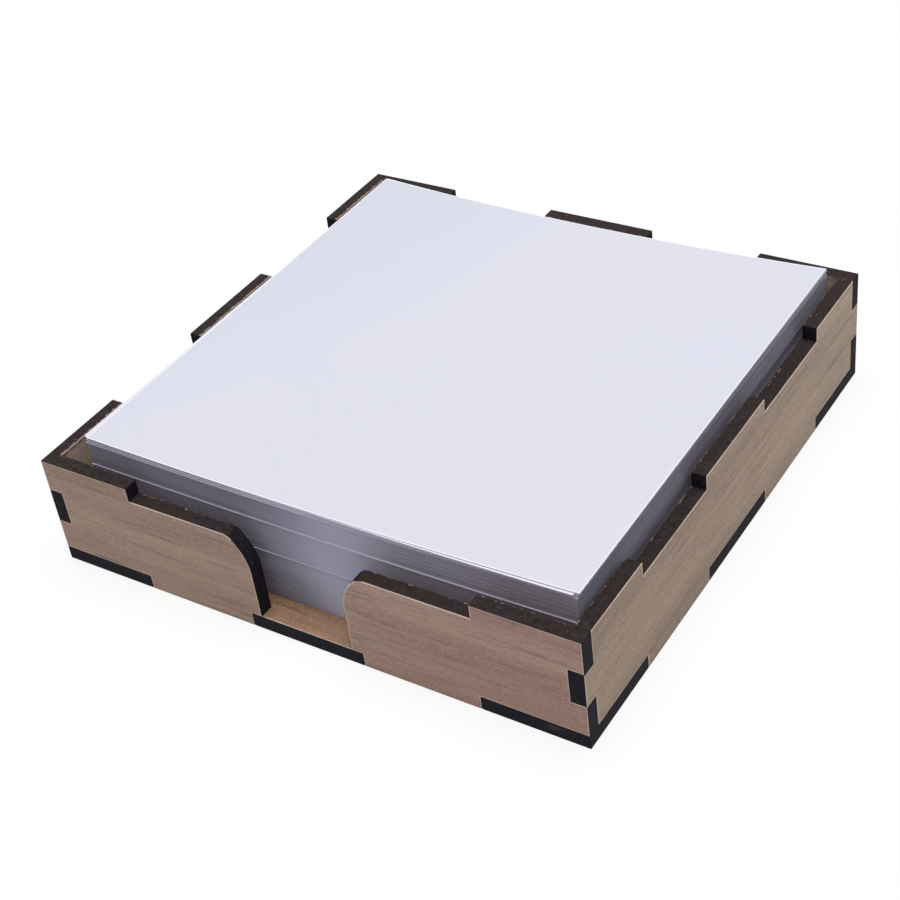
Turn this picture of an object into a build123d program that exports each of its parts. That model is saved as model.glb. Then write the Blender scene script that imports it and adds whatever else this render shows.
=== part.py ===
"""Open tray for square loose notes, cut from thin veneered board and finger-jointed.

Millimetres, +Z up. The origin is the centre of the underside, and the thumb notch is in
the front wall, towards -Y.
"""
import os

from build123d import *

# Loose notes
note_width = 90.0  # left to right
note_depth = 90.0  # front to back
sheet_thickness = 0.1

# Height of each pack of notes, from the bottom up
lower_height = 9.5
middle_height = 6.5
upper_height = 4.5
top_height = 0.3
proud_reach = 0.4  # how far the single note on each pack stands proud at the front

# Room around the notes inside the walls, as they happen to lie
gap_left = 3.6
gap_right = 1.2
gap_front = 2.7
gap_back = 2.1

# Board and walls
board = 2.6  # thickness of the veneered board, the same in every panel
wall_height = 21.0  # underside of the base to the top of the wall tabs
joint_gap = 0.05  # room that the laser leaves on each flank of a finger

# Fingers
end_tab = 18.2  # corner tabs of the base, and full-height ends of the walls
middle_tab = 21.2  # middle tab of the base, and of the walls' top edges
corner_finger_base = 8.5  # underside to the side walls' corner fingers
corner_finger_height = 6.4

# Thumb notch, which cuts the front wall in two
notch_width = 17.4
flare_drop = 9.6  # wall top to where the straight sides start to flare
flare_radius = 8.8
shoulder_radius = 2.5  # rounding between the flare and the low top edge

# Lie of the packed notes: name, height, shift right, shift back, turn in degrees
note_layers = [
    ("lower_notes", lower_height, 0.0, 0.0, 0.3),
    ("lower_proud_note", sheet_thickness, -0.1, -proud_reach, 0.4),
    ("middle_notes", middle_height, -0.1, 0.0, 0.4),
    ("middle_proud_note", sheet_thickness, -0.2, -proud_reach, 0.3),
    ("upper_notes", upper_height, 0.0, 0.1, 0.3),
    ("upper_proud_note", sheet_thickness, -0.1, -proud_reach, 0.5),
    ("top_notes", top_height, 0.0, 0.1, 0.4),
]

# Single notes on top, from the lowest up: shift right, shift back, turn in degrees
single_notes = [
    (0.1, 0.1, 0.5),
    (0.0, 0.2, 0.4),
    (-0.2, 0.0, 0.6),
    (0.1, 0.2, 0.4),
    (0.0, -0.1, 0.5),
    (0.2, 0.1, 0.6),
    (0.1, 0.0, 0.6),
]

inner_width = gap_left + note_width + gap_right
inner_depth = gap_front + note_depth + gap_back
holder_width = inner_width + 2 * board
holder_depth = inner_depth + 2 * board
shelf_height = wall_height - board  # bottom of the notches in the walls' top edges
stack_x = (gap_left - gap_right) / 2
stack_y = (gap_front - gap_back) / 2

os.makedirs("parts", exist_ok=True)


def save(piece, name):
    """Label a finished piece and write its STEP file."""
    piece.part.label = name
    export_step(piece.part, f"parts/{name}.step")


def side_tab(holder_length):
    """Width of a wall's own tab, between a corner tab and the middle tab of the base."""
    return (holder_length - 2 * end_tab - middle_tab) / 2


def tab_places(holder_length, height):
    """Centres of a wall's two tabs at a height, across a side of the given length."""
    centre = (middle_tab + side_tab(holder_length)) / 2
    return [(-centre, height), (centre, height)]


def draw_wall(panel_length, holder_length):
    """Panel that stands on the base, with two bottom tabs and the two notches over them."""
    tab = side_tab(holder_length)
    with Locations((0, board)):
        Rectangle(panel_length, wall_height - board, align=(Align.CENTER, Align.MIN))
    with Locations(*tab_places(holder_length, 0)):
        Rectangle(tab - 2 * joint_gap, board, align=(Align.CENTER, Align.MIN))
    with Locations(*tab_places(holder_length, wall_height)):
        Rectangle(tab, board, align=(Align.CENTER, Align.MAX), mode=Mode.SUBTRACT)


def draw_finger_slots():
    """Slots at both ends of the front and back walls for the side walls' fingers."""
    reach = board + joint_gap
    middle = corner_finger_base + corner_finger_height / 2
    edge = (holder_width - reach) / 2
    with Locations((-edge, middle), (edge, middle)):
        Rectangle(reach, corner_finger_height, mode=Mode.SUBTRACT)


def draw_corner_fingers():
    """Fingers at both ends of a side wall, which reach through the front and back walls."""
    middle = corner_finger_base + corner_finger_height / 2
    edge = (inner_depth + board) / 2
    with Locations((-edge, middle), (edge, middle)):
        Rectangle(board, corner_finger_height - 2 * joint_gap)


def draw_thumb_notch():
    """Straight-sided notch down to the base, whose sides flare apart near the top."""
    half = notch_width / 2
    flare_start = wall_height - flare_drop
    flare_end = flare_start + flare_radius
    mouth = half + flare_radius
    above = wall_height + flare_radius
    with BuildLine() as outline:
        Polyline((-half, flare_start), (-half, board), (half, board), (half, flare_start))
        JernArc((half, flare_start), (0, 1), flare_radius, -90)
        JernArc((-half, flare_start), (0, 1), flare_radius, 90)
        Polyline((mouth, flare_end), (mouth, above), (-mouth, above), (-mouth, flare_end))
    make_face(outline.edges(), mode=Mode.SUBTRACT)


# Base: a square whose edges are notched for the walls' tabs
with BuildPart() as base_panel:
    with BuildSketch():
        Rectangle(holder_width, holder_depth)
        slot_depth = board + joint_gap
        for x, y in tab_places(holder_width, (holder_depth - slot_depth) / 2):
            with Locations((x, y), (x, -y)):
                Rectangle(side_tab(holder_width), slot_depth, mode=Mode.SUBTRACT)
        for y, x in tab_places(holder_depth, (holder_width - slot_depth) / 2):
            with Locations((x, y), (-x, y)):
                Rectangle(slot_depth, side_tab(holder_depth), mode=Mode.SUBTRACT)
    extrude(amount=board)
save(base_panel, "base_panel")

# Side walls, between the front and back walls, with fingers out through both
with BuildPart() as right_wall:
    with BuildSketch(Plane.YZ.offset(inner_width / 2)):
        draw_wall(inner_depth, holder_depth)
        draw_corner_fingers()
    extrude(amount=board)
save(right_wall, "right_wall")

with BuildPart() as left_wall:
    mirror(right_wall.part, about=Plane.YZ)
save(left_wall, "left_wall")

# Back wall, over the full width
with BuildPart() as back_wall:
    with BuildSketch(Plane.XZ.offset(-holder_depth / 2)):
        draw_wall(holder_width, holder_width)
        draw_finger_slots()
    extrude(amount=board)
save(back_wall, "back_wall")

# Front wall: the notch leaves a left and a right piece, each held by the base and its side
with BuildPart() as front_wall_left:
    with BuildSketch(Plane.XZ.offset(inner_depth / 2)):
        draw_wall(holder_width, holder_width)
        draw_finger_slots()
        draw_thumb_notch()
    extrude(amount=board)
    split(bisect_by=Plane.YZ, keep=Keep.BOTTOM)
    across = front_wall_left.edges().filter_by(Axis.Y)
    on_top = across.filter_by_position(Axis.Z, shelf_height - joint_gap, shelf_height + joint_gap)
    shoulder = on_top.sort_by(Axis.X)[-1]
    fillet(shoulder, shoulder_radius)
save(front_wall_left, "front_wall_left")

with BuildPart() as front_wall_right:
    mirror(front_wall_left.part, about=Plane.YZ)
save(front_wall_right, "front_wall_right")

# The stack of notes, from the base up
single_count = len(single_notes)
for index, (shift_x, shift_y, turn) in enumerate(single_notes):
    name = f"note_sheet_{single_count - index}"
    note_layers.append((name, sheet_thickness, shift_x, shift_y, turn))

layer_bottom = board
for name, height, shift_x, shift_y, turn in note_layers:
    with BuildPart() as layer:
        with BuildSketch(Plane.XY.offset(layer_bottom)):
            with Locations((stack_x + shift_x, stack_y + shift_y)):
                Rectangle(note_width, note_depth, rotation=turn)
        extrude(amount=height)
    save(layer, name)
    layer_bottom += height

print("holder", holder_width, "x", holder_depth, "x", wall_height, "mm, notes to", round(layer_bottom, 2))
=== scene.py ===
import math

import bmesh
import bpy
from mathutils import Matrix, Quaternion, Vector


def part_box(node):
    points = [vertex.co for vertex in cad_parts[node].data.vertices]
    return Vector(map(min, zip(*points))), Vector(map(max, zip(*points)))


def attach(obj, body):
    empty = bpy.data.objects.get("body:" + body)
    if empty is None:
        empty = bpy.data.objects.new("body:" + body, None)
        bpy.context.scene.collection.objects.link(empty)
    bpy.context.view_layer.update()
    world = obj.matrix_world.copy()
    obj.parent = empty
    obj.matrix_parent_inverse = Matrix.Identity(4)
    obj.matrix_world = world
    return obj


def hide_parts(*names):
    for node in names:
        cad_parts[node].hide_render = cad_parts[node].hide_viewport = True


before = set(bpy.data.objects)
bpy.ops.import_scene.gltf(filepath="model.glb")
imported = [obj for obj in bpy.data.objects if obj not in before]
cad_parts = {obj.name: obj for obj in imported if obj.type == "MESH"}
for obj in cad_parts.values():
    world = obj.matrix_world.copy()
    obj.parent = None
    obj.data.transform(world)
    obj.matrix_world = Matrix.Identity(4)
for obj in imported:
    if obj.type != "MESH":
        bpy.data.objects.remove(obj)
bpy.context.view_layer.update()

# A square tray of finger-jointed veneered board, filled with loose square notes. Lengths are in
# millimetres and angles in degrees, except where they go into Blender.

# The holder, whose sizes its finishes follow
HALF = 50.0  # centre of the holder to the outer faces of its walls
BOARD = 2.6
WALL_TOP = 21.0
LOW_TOP = 18.4  # top of the walls between their tabs
TAB_CENTRE = 21.2  # centre of a side to the centre of each tab that stands in the base
TAB_HALF = 10.6
GAP = 0.05  # laser gap on each flank of a finger
FINGER_CENTRE = 11.7  # height of the middle of the corner fingers
FINGER_HALF = 3.2
FLARE_RADIUS = 8.8
FLARE_CENTRE = 17.5  # centre of the notch to the centre of each flare
FLARE_FOOT = 11.4  # height at which the notch starts to flare
ARRIS = 0.07  # how far the boards' sharp edges are eased
FRONT_PAINTED_LIGHT = (1.07, 0.985, 1.03, 1.0)  # painted light that makes the front lighter and pinker towards its right end
RIGHT_PAINTED_LIGHT = (1.2, 1.25, 1.26, 1.0)  # and the right wall lighter towards its back end

# The notes
NOTE_SIDE = 90.0
SHEET = 0.1
SINGLE_MARGIN = 0.008  # share of a single note's thickness left free above and below it
PACKED_SHARE = 0.985  # share of its own height that a packed note fills
SHEET_CELLS = 12  # cells along each side of a single note
SHEET_RIM = 0.4  # width of the narrow cells along its rim
PACKED_CUTS = {"Vertices X": 13, "Vertices Y": 3}  # enough for the sag
DRIFT = 0.06  # how far packed notes wander slowly out of line
JITTER = 0.02  # how far each one lies off its neighbours
TWIST = 0.03  # how far each one is turned
WANDER_PER_METRE = 450.0
PEEPING = 3  # number of the loose note that peeps out at the front left corner of the others
PEEP = 0.3
PEEP_TURN = 0.45

# How the stack hangs
STACK_X = 1.2  # middle of the stack, which lies a little to the right
SAG = 1.05  # how far the middle of the top notes hangs below their left and right edges
BACK_SAG = 0.2  # share by which the sag grows at the back and shrinks at the front
BACK_FALL = 0.65  # how much lower the top of the stack is at the back than at the front
RIGHT_FALL = 0.25  # and on the right than on the left

# The studio
FLOOR_REACH = 6.0  # metres from the middle of the floor to its edges
SKY_LIGHT = 0.37
LAMP_PLACE = (0.03, 0.02, 0.78)  # metres
LAMP_AIM = (0, 0, 0.01)
LAMP_SIZE = 0.5
LAMP_WATTS = 4.25
CAMERA_PLACE = (0.14241, -0.19701, 0.18921)  # metres
CAMERA_AROUND = 36.756  # from the front towards the right
CAMERA_ABOVE = 37.382  # from level upwards
CAMERA_TILT = -8.161
CAMERA_LENS = 70.64  # on a 36 mm sensor


WHITE = (1.0, 1.0, 1.0, 1.0)


def paint(red, green, blue):
    """A colour as seen on a screen, 0 to 255, in the linear numbers that a node takes."""
    parts = [part / 255 for part in (red, green, blue)]
    linear = [p / 12.92 if p <= 0.04045 else ((p + 0.055) / 1.055) ** 2.4 for p in parts]
    return (*linear, 1.0)


class Value:
    """A socket in a recipe, so that its sums are written as Python sums."""

    def __init__(self, recipe, socket):
        self.recipe = recipe
        self.socket = socket

    def __add__(self, other):
        return self.recipe.sum("ADD", self, other)

    def __radd__(self, other):
        return self.recipe.sum("ADD", other, self)

    def __sub__(self, other):
        return self.recipe.sum("SUBTRACT", self, other)

    def __rsub__(self, other):
        return self.recipe.sum("SUBTRACT", other, self)

    def __mul__(self, other):
        return self.recipe.sum("MULTIPLY", self, other)

    def __rmul__(self, other):
        return self.recipe.sum("MULTIPLY", other, self)

    def __pow__(self, other):
        return self.recipe.sum("POWER", self, other)

    def __abs__(self):
        return self.recipe.sum("ABSOLUTE", self)


def least(first, *others):
    """The least of some values."""
    for other in others:
        first = first.recipe.sum("MINIMUM", first, other)
    return first


def most(first, *others):
    """The greatest of some values."""
    for other in others:
        first = first.recipe.sum("MAXIMUM", first, other)
    return first


class Recipe:
    """A node tree under construction: a finish, the sky or a pack of notes."""

    def __init__(self, tree):
        self.tree = tree
        self.tree.nodes.clear()

    def node(self, kind, settings=None, inputs=None, gives=0):
        """Adds a node from its type, its settings, and the values or links of its sockets."""
        made = self.tree.nodes.new(kind)
        for name, setting in (settings or {}).items():
            setattr(made, name, setting)
        for name, value in (inputs or {}).items():
            if isinstance(value, Value):
                self.tree.links.new(value.socket, made.inputs[name])
            else:
                made.inputs[name].default_value = value
        return Value(self, made.outputs[gives]) if made.outputs else None

    def sum(self, operation, *terms):
        """One sum on one or two numbers."""
        return self.node("ShaderNodeMath", {"operation": operation}, dict(enumerate(terms)))

    def join(self, x, y, z):
        """A vector from its three parts."""
        return self.node("ShaderNodeCombineXYZ", inputs={0: x, 1: y, 2: z})

    def split(self, vector):
        """The three parts of a vector."""
        parts = self.node("ShaderNodeSeparateXYZ", inputs={0: vector}).socket.node
        return [Value(self, output) for output in parts.outputs]

    def place(self):
        """Where a point of the piece is, in millimetres."""
        return [part * 1000 for part in self.split(self.node("ShaderNodeTexCoord", gives="Object"))]

    def facing(self):
        """Which way the surface looks."""
        return self.split(self.node("ShaderNodeNewGeometry", gives="Normal"))

    def noise(self, x, y, z, per_mm, detail=2.0, roughness=0.5):
        """Soft random figure, with this many changes in a millimetre along x, y and z."""
        spot = self.join(x * per_mm[0], y * per_mm[1], z * per_mm[2])
        inputs = {"Vector": spot, "Scale": 1.0, "Detail": detail, "Roughness": roughness}
        return self.node("ShaderNodeTexNoise", inputs=inputs)

    def either_way(self, seed):
        """A random number from -1 to 1 for each point of some geometry."""
        inputs = {"Min": -1.0, "Max": 1.0, "Seed": seed}
        return self.node("FunctionNodeRandomValue", {"data_type": "FLOAT"}, inputs, gives=1)

    def step(self, value, low, high):
        """0 at low, 1 at high, and a soft change between them."""
        inputs = {"Value": value, "From Min": low, "From Max": high}
        return self.node("ShaderNodeMapRange", {"interpolation_type": "SMOOTHSTEP"}, inputs)

    def mix(self, amount, one, two, way="MIX"):
        """One colour over another."""
        settings = {"data_type": "RGBA", "blend_type": way}
        return self.node("ShaderNodeMix", settings, {0: amount, 6: one, 7: two}, gives=2)

    def surface(self, colour, roughness, height, depth, **fixed):
        """Ends a finish. Height is 0 to 1, and depth is what 1 stands for, in millimetres."""
        bump = self.node("ShaderNodeBump", inputs={"Height": height, "Distance": depth / 1000})
        inputs = {"Base Color": colour, "Roughness": roughness, "Normal": bump}
        inputs.update({name.replace("_", " "): value for name, value in fixed.items()})
        shader = self.node("ShaderNodeBsdfPrincipled", inputs=inputs)
        self.node("ShaderNodeOutputMaterial", inputs={"Surface": shader})


def finish(name):
    """A new material and the recipe for it."""
    material = bpy.data.materials.new(name)
    material.use_nodes = True
    return material, Recipe(material.node_tree)


# ---------------------------------------------------------------- veneered board

LIMED = {
    "pale": paint(200, 172, 151),
    "mid": paint(178, 146, 129),
    "streak": paint(138, 112, 105),
    "blush": paint(188, 147, 136),
    "pore": paint(112, 91, 82),
    "rim": paint(240, 222, 204),
    "soot": paint(46, 38, 37),
}
OLIVE = {
    **LIMED,
    "pale": paint(196, 171, 148),
    "mid": paint(172, 147, 128),
    "blush": paint(182, 155, 128),
}
# Painted light: paler tones for the inner faces, which lie in shade between the walls and the notes
PAINTED_LIGHT_INSIDE = {
    **LIMED,
    "pale": paint(228, 208, 186),
    "mid": paint(206, 184, 160),
    "blush": paint(214, 186, 166),
}
WARM = {
    "pale": paint(184, 148, 120),
    "mid": paint(152, 116, 90),
    "streak": paint(106, 72, 52),
    "blush": paint(150, 104, 78),
    "pore": paint(78, 50, 36),
    "rim": paint(250, 232, 214),
}


def oak(recipe, along, across, seed, tones):
    """Colour and height of oak veneer, with its grain along one way of the board.

    Each figure has its own place in the noise, off the seed, so that no two look alike.
    """
    bend = recipe.noise(along, across, seed, (0.015, 0.03, 1.0), detail=1.0)
    across = across + (bend - 0.5) * 1.6
    broad = recipe.noise(along, across, seed + 3.1, (0.012, 0.2, 1.0), detail=2.0)
    streaks = recipe.noise(along, across, seed + 7.7, (0.06, 1.3, 1.0), 3.0, 0.5)
    lines = recipe.noise(along, across, seed + 1.9, (0.09, 3.4, 1.0), 3.0, 0.6)
    grain = recipe.noise(along, across, seed + 5.3, (0.5, 4.6, 1.0), 4.0, 0.7)
    blush = recipe.noise(along, across, seed + 9.1, (0.04, 0.3, 1.0), 2.0)
    colour = recipe.mix(recipe.step(broad, 0.3, 0.7), tones["mid"], tones["pale"])
    colour = recipe.mix(recipe.step(blush, 0.45, 0.7) * 0.35, colour, tones["blush"])
    colour = recipe.mix(recipe.step(streaks, 0.52, 0.74) * 0.65, colour, tones["streak"])
    colour = recipe.mix(recipe.step(lines, 0.54, 0.78) * 0.65, colour, tones["streak"])
    colour = recipe.mix(recipe.step(lines, 0.46, 0.22) * 0.45, colour, tones["pale"])
    pores = recipe.step(grain, 0.54, 0.72)
    colour = recipe.mix(pores * 0.45, colour, tones["pore"])
    colour = recipe.mix(recipe.step(grain, 0.46, 0.3) * 0.3, colour, tones["pale"])
    flecks = recipe.noise(along, across, seed + 2.7, (2.4, 3.2, 1.0), 3.0, 0.7)
    colour = recipe.mix(recipe.step(flecks, 0.5, 0.72) * 0.3, colour, tones["pore"])
    colour = recipe.mix(recipe.step(flecks, 0.48, 0.28) * 0.3, colour, tones["rim"])
    return colour, grain * 0.6 + lines * 0.4 - pores * 0.5


def wall_inside(u, z, reach, fingered, notched):
    """How far a point of a wall's face is inside the outline it was cut to.

    The feet of its tabs don't count as cut, since the holder stands on them.
    """
    below_feet = 1.0
    body = least(reach - abs(u), WALL_TOP - z, z - BOARD)
    tabs = least(TAB_HALF - GAP - abs(abs(u) - TAB_CENTRE), z + below_feet)
    inside = most(body, tabs)
    if fingered:
        fingers = least(HALF - abs(u), FINGER_HALF - GAP - abs(z - FINGER_CENTRE))
        inside = most(inside, fingers)
    else:
        slots = most(HALF - BOARD - GAP - abs(u), abs(z - FINGER_CENTRE) - FINGER_HALF)
        inside = least(inside, slots)
    low = most(abs(abs(u) - TAB_CENTRE) - TAB_HALF, LOW_TOP - z)
    inside = least(inside, low)
    if notched:
        sideways = most(FLARE_CENTRE - abs(u), 0.0)
        up = most(z - FLARE_FOOT, 0.0)
        flare = FLARE_RADIUS - (sideways * sideways + up * up) ** 0.5
        inside = least(inside, most(flare, abs(u) - FLARE_CENTRE))
    return inside


def base_inside(x, y):
    """How far a point of the base's face is inside the outline it was cut to."""
    side = least(HALF - abs(x), abs(abs(y) - TAB_CENTRE) - TAB_HALF)
    end = least(HALF - abs(y), abs(abs(x) - TAB_CENTRE) - TAB_HALF)
    inner = HALF - BOARD - GAP
    return least(most(inner - abs(x), side), most(inner - abs(y), end))


def veneer(name, seed, tones, inside, along, across, sooty=False, painted_light=None):
    """Oak veneer on one face of a board, to the outline that the laser left."""
    material, recipe = finish(name)
    place = dict(zip("xyz", recipe.place()))
    colour, height = oak(recipe, place[along], place[across], seed, tones)
    # Painted light: the face is made lighter and tinted towards one end
    if painted_light:
        colour = recipe.mix(recipe.step(place[along], -25.0, 55.0), colour, painted_light, "MULTIPLY")
    depth_in = inside(place)
    ragged = recipe.noise(place["x"], place["y"], place["z"], (0.9, 0.9, 0.9), 4.0, 0.65)
    wisps = recipe.noise(place["x"], place["y"], place["z"], (0.12, 0.12, 0.12), 2.0)
    if sooty:
        smoke = recipe.step(depth_in + ragged * 1.6 + wisps * 3.0, 3.9, 2.3)
        colour = recipe.mix(smoke * 0.25, colour, tones["soot"])
        scorch = recipe.step(depth_in + ragged * 1.2, 0.95, 0.65)
        colour = recipe.mix(scorch * 0.95, colour, tones["soot"])
    else:
        # Pale rim along the cut outline: partly the veneer's own pale edge, partly a painted
        # highlight
        rim = recipe.step(depth_in + (ragged - 0.5) * 0.22, 0.28, 0.13)
        strength = recipe.step(wisps, 0.3, 0.6) * 0.4 + 0.42
        colour = recipe.mix(rim * strength, colour, tones["rim"])
    roughness = 0.52 + ragged * 0.18
    recipe.surface(colour, roughness, height, 0.03, Specular_IOR_Level=0.3)
    return material


def charred_edge():
    """Edge of the board where the laser went through it: brown where it faces up and black where it
    is steep, as painted light and shade.
    """
    material, recipe = finish("charred edge")
    x, y, z = recipe.place()
    upward = recipe.facing()[2]
    fine = recipe.noise(x, y, z, (4.0, 4.0, 4.0), 4.0, 0.7)
    blotch = recipe.noise(x, y, z, (1.1, 1.1, 1.1), 4.0, 0.65)
    patch = recipe.noise(x, y, z, (0.12, 0.12, 0.12), 2.0)
    strokes = recipe.noise(x, y, z, (2.4, 2.4, 0.25), 3.0, 0.6)
    flecks = recipe.noise(x, y, z, (1.7, 1.7, 1.7), 2.0, 0.5)
    brown = recipe.mix(recipe.step(blotch, 0.3, 0.72), paint(34, 28, 29), paint(58, 49, 48))
    brown = recipe.mix(recipe.step(patch, 0.4, 0.65) * 0.5, brown, paint(50, 38, 36))
    brown = recipe.mix(recipe.step(fine, 0.56, 0.8) * 0.45, brown, paint(78, 66, 62))
    black = recipe.mix(recipe.step(strokes, 0.4, 0.75), paint(22, 20, 29), paint(40, 35, 41))
    black = recipe.mix(recipe.step(blotch, 0.62, 0.8) * 0.35, black, paint(60, 52, 55))
    # Painted light and shade: up-facing edges take the brown, steep ones the black
    colour = recipe.mix(recipe.step(upward, 0.84, 0.97), black, brown)
    colour = recipe.mix(recipe.step(flecks, 0.735, 0.77) * 0.8, colour, paint(190, 162, 140))
    # Ragged lip of pale wood along the inner rim, widest on the left wall
    inset = most(abs(x), abs(y)) - (HALF - BOARD)
    worn = recipe.step(x, -47.0, -47.5)
    lip = recipe.step(inset + (blotch - 0.5) * 1.8 - worn * 0.5, 0.1, -0.1)
    lip = lip * recipe.step(upward, 0.9, 0.97)
    colour = recipe.mix(lip * 0.7, colour, paint(176, 153, 143))
    # Smear of dust low on the front, near its right end
    smear = least(
        recipe.step(abs(x - 44.6), 2.4, 0.4),
        recipe.step(y, -49.5, -49.9),
        recipe.step(abs(z - 1.7), 0.8, 0.1),
    )
    dust = recipe.noise(x, y, z, (0.35, 0.35, 1.2), 2.0, 0.5)
    colour = recipe.mix(smear * recipe.step(dust, 0.3, 0.7) * 0.35, colour, paint(116, 114, 118))
    height = fine * 0.5 + blotch * 0.3 + strokes * 0.4
    recipe.surface(colour, 0.62 + fine * 0.25, height, 0.08, Specular_IOR_Level=0.12)
    return material


def board_piece(name, node, outer, finishes):
    """A board from its CAD solid, with its edges eased and a finish on each kind of face.

    The finishes are for its outer face, its inner face and its edges. Only the curved faces of
    its edges are shaded smooth.
    """
    outer = Vector(outer)
    shape = bmesh.new()
    shape.from_mesh(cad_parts[node].data)
    bmesh.ops.remove_doubles(shape, verts=shape.verts, dist=1e-6)
    bmesh.ops.dissolve_limit(
        shape, angle_limit=math.radians(0.5), verts=shape.verts, edges=shape.edges)
    shape.normal_update()
    for face in shape.faces:
        lean = face.normal.dot(outer)
        face.material_index = 0 if lean > 0.9 else 1 if lean < -0.9 else 2
        face.smooth = max(abs(part) for part in face.normal) < 0.9999
    mesh = bpy.data.meshes.new(name)
    shape.to_mesh(mesh)
    shape.free()
    for material in finishes:
        mesh.materials.append(material)
    board = bpy.data.objects.new(name, mesh)
    bpy.context.scene.collection.objects.link(board)
    ease = board.modifiers.new("eased arris", "BEVEL")
    ease.width = ARRIS / 1000
    ease.segments = 1
    ease.limit_method = "ANGLE"
    ease.angle_limit = math.radians(40)
    ease.use_clamp_overlap = True
    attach(board, "holder")
    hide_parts(node)


def front_outline(place):
    """How far inside the front walls' outline a place is."""
    return wall_inside(place["x"], place["z"], HALF, fingered=False, notched=True)


def back_outline(place):
    """How far inside the back wall's outline a place is."""
    return wall_inside(place["x"], place["z"], HALF, fingered=False, notched=False)


def side_outline(place):
    """How far inside a side wall's outline a place is."""
    return wall_inside(place["y"], place["z"], HALF - BOARD, fingered=True, notched=False)


def base_outline(place):
    """How far inside the base's outline a place is."""
    return base_inside(place["x"], place["y"])


edge = charred_edge()
front_veneer = veneer("front veneer", 4.0, LIMED, front_outline, "x", "z", painted_light=FRONT_PAINTED_LIGHT)
front_lining = veneer("front lining", 14.0, PAINTED_LIGHT_INSIDE, front_outline, "x", "z", sooty=True)
back_veneer = veneer("back veneer", 24.0, LIMED, back_outline, "x", "z")
back_lining = veneer("back lining", 34.0, PAINTED_LIGHT_INSIDE, back_outline, "x", "z", sooty=True)
left_veneer = veneer("left veneer", 44.0, LIMED, side_outline, "y", "z")
left_lining = veneer("left lining", 54.0, PAINTED_LIGHT_INSIDE, side_outline, "y", "z", sooty=True)
right_veneer = veneer("right veneer", 64.0, OLIVE, side_outline, "y", "z", painted_light=RIGHT_PAINTED_LIGHT)
right_lining = veneer("right lining", 74.0, PAINTED_LIGHT_INSIDE, side_outline, "y", "z", sooty=True)
base_veneer = veneer("base veneer", 84.0, WARM, base_outline, "x", "y")
base_underside = veneer("base underside", 94.0, LIMED, base_outline, "x", "y")

front_faces = (front_veneer, front_lining, edge)
board_piece("front_board_left", "front_wall_left", (0, -1, 0), front_faces)
board_piece("front_board_right", "front_wall_right", (0, -1, 0), front_faces)
board_piece("back_board", "back_wall", (0, 1, 0), (back_veneer, back_lining, edge))
board_piece("left_board", "left_wall", (-1, 0, 0), (left_veneer, left_lining, edge))
board_piece("right_board", "right_wall", (1, 0, 0), (right_veneer, right_lining, edge))
board_piece("base_board", "base_panel", (0, 0, 1), (base_veneer, base_underside, edge))

# ---------------------------------------------------------------- notes


def note_paper(name, faces, sides, shade, painted_rim_highlight=False):
    """White paper from a dark and a pale tone for its faces, and for the sides where it was cut.

    Shade is how much painted shade darkens the sides at the left and low down on the left. A
    painted highlight runs round the face of a note that has its own coordinates.
    """
    material, recipe = finish(name)
    x, y, z = recipe.place()
    right, _, upward = recipe.facing()
    cloud = recipe.noise(x, y, z, (0.03, 0.03, 0.03), 3.0)
    felt = recipe.noise(x, y, z, (1.6, 1.6, 1.6), 4.0, 0.6)
    face = recipe.mix(cloud, *faces)
    face = recipe.mix(recipe.step(felt, 0.45, 0.7) * 0.25, face, paint(216, 217, 232))
    # Painted shade: the face is greyer towards its left front corner
    face = recipe.mix(recipe.step(x - y * 0.4, -8.0, -60.0) * 0.6, face, paint(212, 216, 230))
    # Painted highlight: a whiter line round the edge of the face
    if painted_rim_highlight:
        own_x, own_y, _ = recipe.split(recipe.node("ShaderNodeUVMap", {"uv_map": "sheet"}))
        from_edge = NOTE_SIDE / 2 - most(abs(own_x), abs(own_y))
        face = recipe.mix(recipe.step(from_edge, 0.3, 0.12), face, paint(250, 250, 255))
    bands = recipe.noise(x, y, z, (0.008, 0.008, 0.35), 3.0, 0.5)
    sheets = recipe.noise(x, y, z, (0.02, 0.02, 4.0), 3.0, 0.6)
    side = recipe.mix(recipe.step(bands, 0.3, 0.7) * 0.6 + sheets * 0.4, *sides)
    # Painted shade and light on the cut sides: greyer to the left, rosier to the right, and palest
    # behind the thumb notch
    side = recipe.mix(recipe.step(x, 3.0, -16.0) * shade, side, paint(132, 128, 146))
    side = recipe.mix(recipe.step(x, 12.0, 42.0) * 0.5, side, paint(170, 146, 160))
    side = recipe.mix(recipe.step(abs(x - 6.0), 13.0, 1.0) * 0.65, side, paint(218, 218, 238))
    # Painted shadow low down on the left of the sides
    painted_shadow_low_left = recipe.step(x, 5.0, -6.0) * recipe.step(z, 13.0, 5.0)
    side = recipe.mix(painted_shadow_low_left * shade, side, paint(112, 108, 120))
    # Painted shade on the sides that face right
    side = recipe.mix(recipe.step(right, 0.5, 0.9) * 0.6, side, paint(112, 116, 130))
    colour = recipe.mix(recipe.step(abs(upward), 0.3, 0.7), side, face)
    recipe.surface(colour, 0.86 + felt * 0.1, felt, 0.01, Specular_IOR_Level=0.2)
    return material


def lie_of(node):
    """Middle of a stack of notes at its foot, its turn and its height, read from its CAD solid."""
    low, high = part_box(node)
    foot = [v.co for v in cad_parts[node].data.vertices if v.co.z < low.z + 1e-5]
    left = min(foot, key=lambda co: co.x + co.y)
    right = max(foot, key=lambda co: co.x - co.y)
    turn = math.atan2(right.y - left.y, right.x - left.x)
    middle = Vector(((low.x + high.x) / 2, (low.y + high.y) / 2, low.z))
    return middle, turn, high.z - low.z


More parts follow.
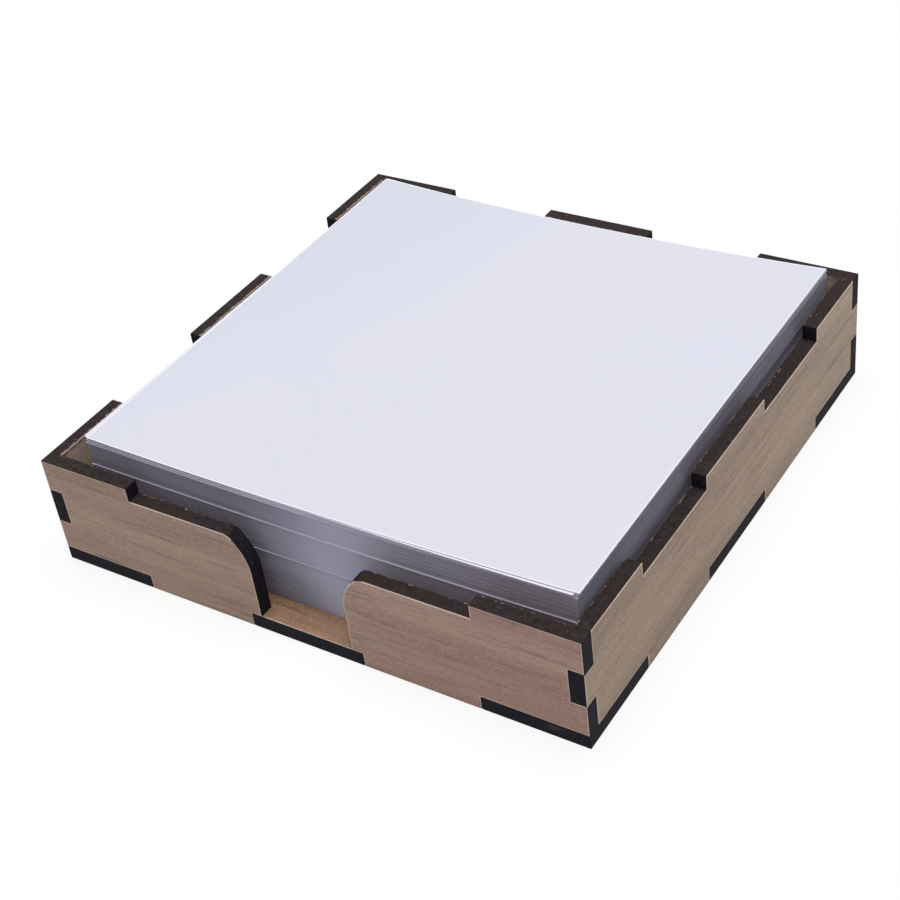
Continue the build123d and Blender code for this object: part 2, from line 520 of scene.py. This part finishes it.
def pack_tree():
    """Tree that lays square sheets on each other, a little out of line, under a given sheet."""
    tree = bpy.data.node_groups.new("pack of notes", "GeometryNodeTree")
    kinds = {
        "Top sheet": "NodeSocketGeometry",
        "Sheets": "NodeSocketInt",
        "Side": "NodeSocketFloat",
        "Pitch": "NodeSocketFloat",
        "Foot": "NodeSocketVector",
        "Turn": "NodeSocketFloat",
        "Drift": "NodeSocketFloat",
        "Jitter": "NodeSocketFloat",
        "Twist": "NodeSocketFloat",
        "Seed": "NodeSocketInt",
        "Paper": "NodeSocketMaterial",
    }
    for name, kind in kinds.items():
        tree.interface.new_socket(name, in_out="INPUT", socket_type=kind)
    tree.interface.new_socket("Pack", in_out="OUTPUT", socket_type="NodeSocketGeometry")
    recipe = Recipe(tree)
    given = recipe.node("NodeGroupInput").socket.node
    asked = {name: Value(recipe, given.outputs[name]) for name in kinds}
    pitch, seed = asked["Pitch"], asked["Seed"]
    half_up = recipe.join(0.0, 0.0, pitch * 0.5)
    start = recipe.node(
        "ShaderNodeVectorMath", {"operation": "ADD"}, {0: asked["Foot"], 1: half_up})
    up = recipe.join(0.0, 0.0, pitch)
    line = recipe.node("GeometryNodeMeshLine", inputs={
        "Count": asked["Sheets"], "Start Location": start, "Offset": up})
    height = recipe.split(recipe.node("GeometryNodeInputPosition"))[2]
    wander = []
    for far in (0.0, 40.0):
        spot = recipe.join(height * WANDER_PER_METRE, seed + far, 0.0)
        slow = recipe.node(
            "ShaderNodeTexNoise", inputs={"Vector": spot, "Scale": 1.0, "Detail": 2.0})
        quick = recipe.either_way(seed + far)
        wander.append((slow - 0.5) * 2.0 * asked["Drift"] + quick * asked["Jitter"])
    points = recipe.node("GeometryNodeSetPosition", inputs={
        "Geometry": line, "Offset": recipe.join(wander[0], wander[1], 0.0)})
    turn = recipe.either_way(seed + 80.0)
    size = recipe.join(asked["Side"], asked["Side"], pitch * PACKED_SHARE)
    sheet = recipe.node("GeometryNodeMeshCube", inputs={"Size": size, **PACKED_CUTS})
    spin = recipe.join(0.0, 0.0, asked["Turn"] + turn * asked["Twist"])
    pack = recipe.node("GeometryNodeInstanceOnPoints", inputs={
        "Points": points, "Instance": sheet, "Rotation": spin})
    both = recipe.node("GeometryNodeJoinGeometry", inputs={0: asked["Top sheet"]})
    recipe.tree.links.new(pack.socket, both.socket.node.inputs[0])
    solid = recipe.node("GeometryNodeRealizeInstances", inputs={0: both})
    papered = recipe.node("GeometryNodeSetMaterial", inputs={
        "Geometry": solid, "Material": asked["Paper"]})
    recipe.node("NodeGroupOutput", inputs={0: papered})
    return tree


def sheet_mesh(name, middle, turn):
    """One square sheet as a closed shell, with its own flat coordinates for the paper finish."""
    shape = bmesh.new()
    own = shape.loops.layers.uv.new("sheet")
    half = NOTE_SIDE / 2
    stops = [-half, -half + SHEET_RIM]
    stops += [-half + NOTE_SIDE * k / SHEET_CELLS for k in range(1, SHEET_CELLS)]
    stops += [half - SHEET_RIM, half]
    low, high = SHEET * SINGLE_MARGIN, SHEET * (1 - SINGLE_MARGIN)
    corners = {}
    for lift, level in enumerate((low, high)):
        for i, a in enumerate(stops):
            for j, b in enumerate(stops):
                corners[lift, i, j] = shape.verts.new((a, b, level))
    last = len(stops) - 1
    for i in range(last):
        for j in range(last):
            ring = [(i, j), (i + 1, j), (i + 1, j + 1), (i, j + 1)]
            shape.faces.new([corners[(1, *spot)] for spot in ring])
            shape.faces.new([corners[(0, *spot)] for spot in reversed(ring)])
    rim = [(k, 0) for k in range(last)] + [(last, k) for k in range(last)]
    rim += [(last - k, last) for k in range(last)] + [(0, last - k) for k in range(last)]
    for one, two in zip(rim, rim[1:] + rim[:1]):
        foot = [corners[(0, *one)], corners[(0, *two)]]
        shape.faces.new(foot + [corners[(1, *two)], corners[(1, *one)]])
    for face in shape.faces:
        for loop in face.loops:
            loop[own].uv = loop.vert.co.xy
    spin = Quaternion((0, 0, 1), turn)
    for vert in shape.verts:
        vert.co = spin @ (vert.co / 1000) + middle
    mesh = bpy.data.meshes.new(name)
    shape.to_mesh(mesh)
    shape.free()
    return mesh


def bow(mesh):
    """Lets the stack sag in its middle and fall to the back, more and more from its foot up."""
    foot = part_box("lower_notes")[0].z * 1000
    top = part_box("note_sheet_1")[1].z * 1000
    for vert in mesh.vertices:
        x, y, z = vert.co * 1000
        across = (x - STACK_X) * 2 / NOTE_SIDE
        back = y * 2 / NOTE_SIDE
        sag = SAG * (1.0 + BACK_SAG * back) * max(0.0, 1.0 - across * across)
        fall = BACK_FALL * (1.0 + back) / 2 + RIGHT_FALL * (1.0 + across) / 2
        vert.co.z -= (sag + max(0.0, fall)) * ((z - foot) / (top - foot)) ** 2 / 1000


def settle(piece, body, *nodes):
    """Puts a piece of paper in the place of its CAD solids."""
    bow(piece.data)
    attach(piece, body)
    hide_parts(*nodes)


def pack_piece(name, body, notes, proud, seed, paper):
    """A pack of notes, with the one that stands proud on top of it."""
    middle, turn, tall = lie_of(notes)
    mesh = bpy.data.meshes.new(name)
    if proud:
        proud_middle, proud_turn, _ = lie_of(proud)
        proud_middle.xy = (proud_middle.xy + middle.xy) / 2
        mesh = sheet_mesh(name, proud_middle, proud_turn)
    piece = bpy.data.objects.new(name, mesh)
    bpy.context.scene.collection.objects.link(piece)
    stack = piece.modifiers.new("pack", "NODES")
    stack.node_group = tree
    count = round(tall * 1000 / SHEET)
    wanted = {
        "Sheets": count,
        "Side": NOTE_SIDE / 1000,
        "Pitch": tall / count,
        "Foot": tuple(middle),
        "Turn": turn,
        "Drift": DRIFT / 1000,
        "Jitter": JITTER / 1000,
        "Twist": math.radians(TWIST),
        "Seed": seed,
        "Paper": paper,
    }
    for item in tree.interface.items_tree:
        if item.in_out == "INPUT" and item.name in wanted:
            stack[item.identifier] = wanted[item.name]
    graph = bpy.context.evaluated_depsgraph_get()
    made = bpy.data.meshes.new_from_object(piece.evaluated_get(graph))
    piece.modifiers.clear()
    piece.data = made
    made.name = name
    settle(piece, body, notes, *([proud] if proud else []))


def single_note(name, body, node, paper, peeps=False):
    """A loose note on top of the stack, which may peep out at its front left corner."""
    middle, turn, _ = lie_of(node)
    middle.xy = (middle.xy + lie_of("note_sheet_1")[0].xy) / 2
    if peeps:
        middle.x -= PEEP / 1000
        turn -= math.radians(PEEP_TURN)
    mesh = sheet_mesh(name, middle, turn)
    mesh.materials.append(paper)
    piece = bpy.data.objects.new(name, mesh)
    bpy.context.scene.collection.objects.link(piece)
    settle(piece, body, node)


# One paper painted with light and shade: the faces darken from the top note down to the packed
# notes, and the packed notes' sides are darker still, as painted shade between the sheets
top_paper = note_paper(
    "top note",
    faces=(paint(222, 222, 236), paint(229, 229, 240)),
    sides=(paint(224, 224, 238), paint(236, 236, 248)),
    shade=0.1,
    painted_rim_highlight=True,
)
loose_paper = note_paper(
    "loose notes",
    faces=(paint(214, 214, 228), paint(222, 222, 234)),
    sides=(paint(222, 220, 236), paint(238, 238, 248)),
    shade=0.1,
)
pack_paper = note_paper(
    "packed notes",
    faces=(paint(208, 208, 222), paint(216, 216, 228)),
    sides=(paint(166, 162, 180), paint(188, 186, 204)),
    shade=0.5,
)
tree = pack_tree()
pack_piece("lower_stack", "lower_pack", "lower_notes", "lower_proud_note", 3, pack_paper)
pack_piece("middle_stack", "middle_pack", "middle_notes", "middle_proud_note", 11, pack_paper)
pack_piece("upper_stack", "upper_pack", "upper_notes", "upper_proud_note", 19, pack_paper)
pack_piece("top_stack", "top_pack", "top_notes", None, 27, loose_paper)
for number in range(1, 8):
    peeps = number == PEEPING
    paper = top_paper if number == 1 or peeps else loose_paper
    single_note(f"loose_note_{number}", f"note_{number}", f"note_sheet_{number}", paper, peeps)

# ---------------------------------------------------------------- floor, sky, lamp and camera


def seen_directly(recipe):
    """1 for what the camera, a gloss or clear glass shows, and 0 for light on other surfaces."""
    path = recipe.node("ShaderNodeLightPath").socket.node
    rays = ("Is Camera Ray", "Is Glossy Ray", "Is Transmission Ray")
    return most(*[Value(recipe, path.outputs[name]) for name in rays])


def floor_piece():
    """Wide pale floor, white to the camera but for the object's shadow."""
    material, recipe = finish("white floor")
    x, y, z = recipe.place()
    cloud = recipe.noise(x, y, z, (0.004, 0.004, 0.004), 2.0)
    seen = seen_directly(recipe)
    tone = recipe.mix(cloud, paint(200, 200, 202), paint(208, 208, 210))
    tone = recipe.mix(seen, tone, paint(252, 252, 252))
    matt = recipe.node("ShaderNodeBsdfDiffuse", inputs={"Color": tone})
    white = recipe.node("ShaderNodeEmission", inputs={"Color": WHITE, "Strength": 1.02})
    both = recipe.node("ShaderNodeMixShader", inputs={0: seen * 0.85, 1: matt, 2: white})
    recipe.node("ShaderNodeOutputMaterial", inputs={"Surface": both})
    shape = bmesh.new()
    ways = ((-1, -1), (1, -1), (1, 1), (-1, 1))
    shape.faces.new([shape.verts.new((a * FLOOR_REACH, b * FLOOR_REACH, 0.0)) for a, b in ways])
    mesh = bpy.data.meshes.new("floor")
    shape.to_mesh(mesh)
    shape.free()
    mesh.materials.append(material)
    floor = bpy.data.objects.new("floor", mesh)
    bpy.context.scene.collection.objects.link(floor)


def sky():
    """Even soft light from all round, which the camera sees as white."""
    world = bpy.data.worlds.new("studio")
    bpy.context.scene.world = world
    world.use_nodes = True
    recipe = Recipe(world.node_tree)
    soft = recipe.node(
        "ShaderNodeBackground", inputs={"Color": (0.95, 0.97, 1.0, 1.0), "Strength": SKY_LIGHT})
    white = recipe.node("ShaderNodeBackground", inputs={"Color": WHITE, "Strength": 1.0})
    both = recipe.node("ShaderNodeMixShader", inputs={0: seen_directly(recipe), 1: soft, 2: white})
    recipe.node("ShaderNodeOutputWorld", inputs={"Surface": both})


def ceiling_lamp():
    """A large square lamp high over the holder."""
    lamp = bpy.data.lights.new("ceiling lamp", "AREA")
    lamp.size = LAMP_SIZE
    lamp.energy = LAMP_WATTS
    lamp.color = (1.0, 0.99, 0.98)
    shade = bpy.data.objects.new("ceiling lamp", lamp)
    bpy.context.scene.collection.objects.link(shade)
    shade.location = LAMP_PLACE
    shade.rotation_mode = "QUATERNION"
    shade.rotation_quaternion = (Vector(LAMP_AIM) - shade.location).to_track_quat("-Z", "Y")


def camera():
    """The main view: from the front right, from above, and tilted a little."""
    around, above = math.radians(CAMERA_AROUND), math.radians(CAMERA_ABOVE)
    back = Vector((
        math.sin(around) * math.cos(above), -math.cos(around) * math.cos(above), math.sin(above)))
    roll = Quaternion((0, 0, 1), math.radians(CAMERA_TILT))
    lens = bpy.data.cameras.new("camera")
    lens.lens = CAMERA_LENS
    lens.sensor_width = 36.0
    lens.clip_start = 0.01
    lens.clip_end = 20.0
    eye = bpy.data.objects.new("camera", lens)
    bpy.context.scene.collection.objects.link(eye)
    eye.location = CAMERA_PLACE
    eye.rotation_mode = "QUATERNION"
    eye.rotation_quaternion = (-back).to_track_quat("-Z", "Y") @ roll
    bpy.context.scene.camera = eye


floor_piece()
sky()
ceiling_lamp()
camera()
bpy.context.scene.view_settings.view_transform = "Standard"
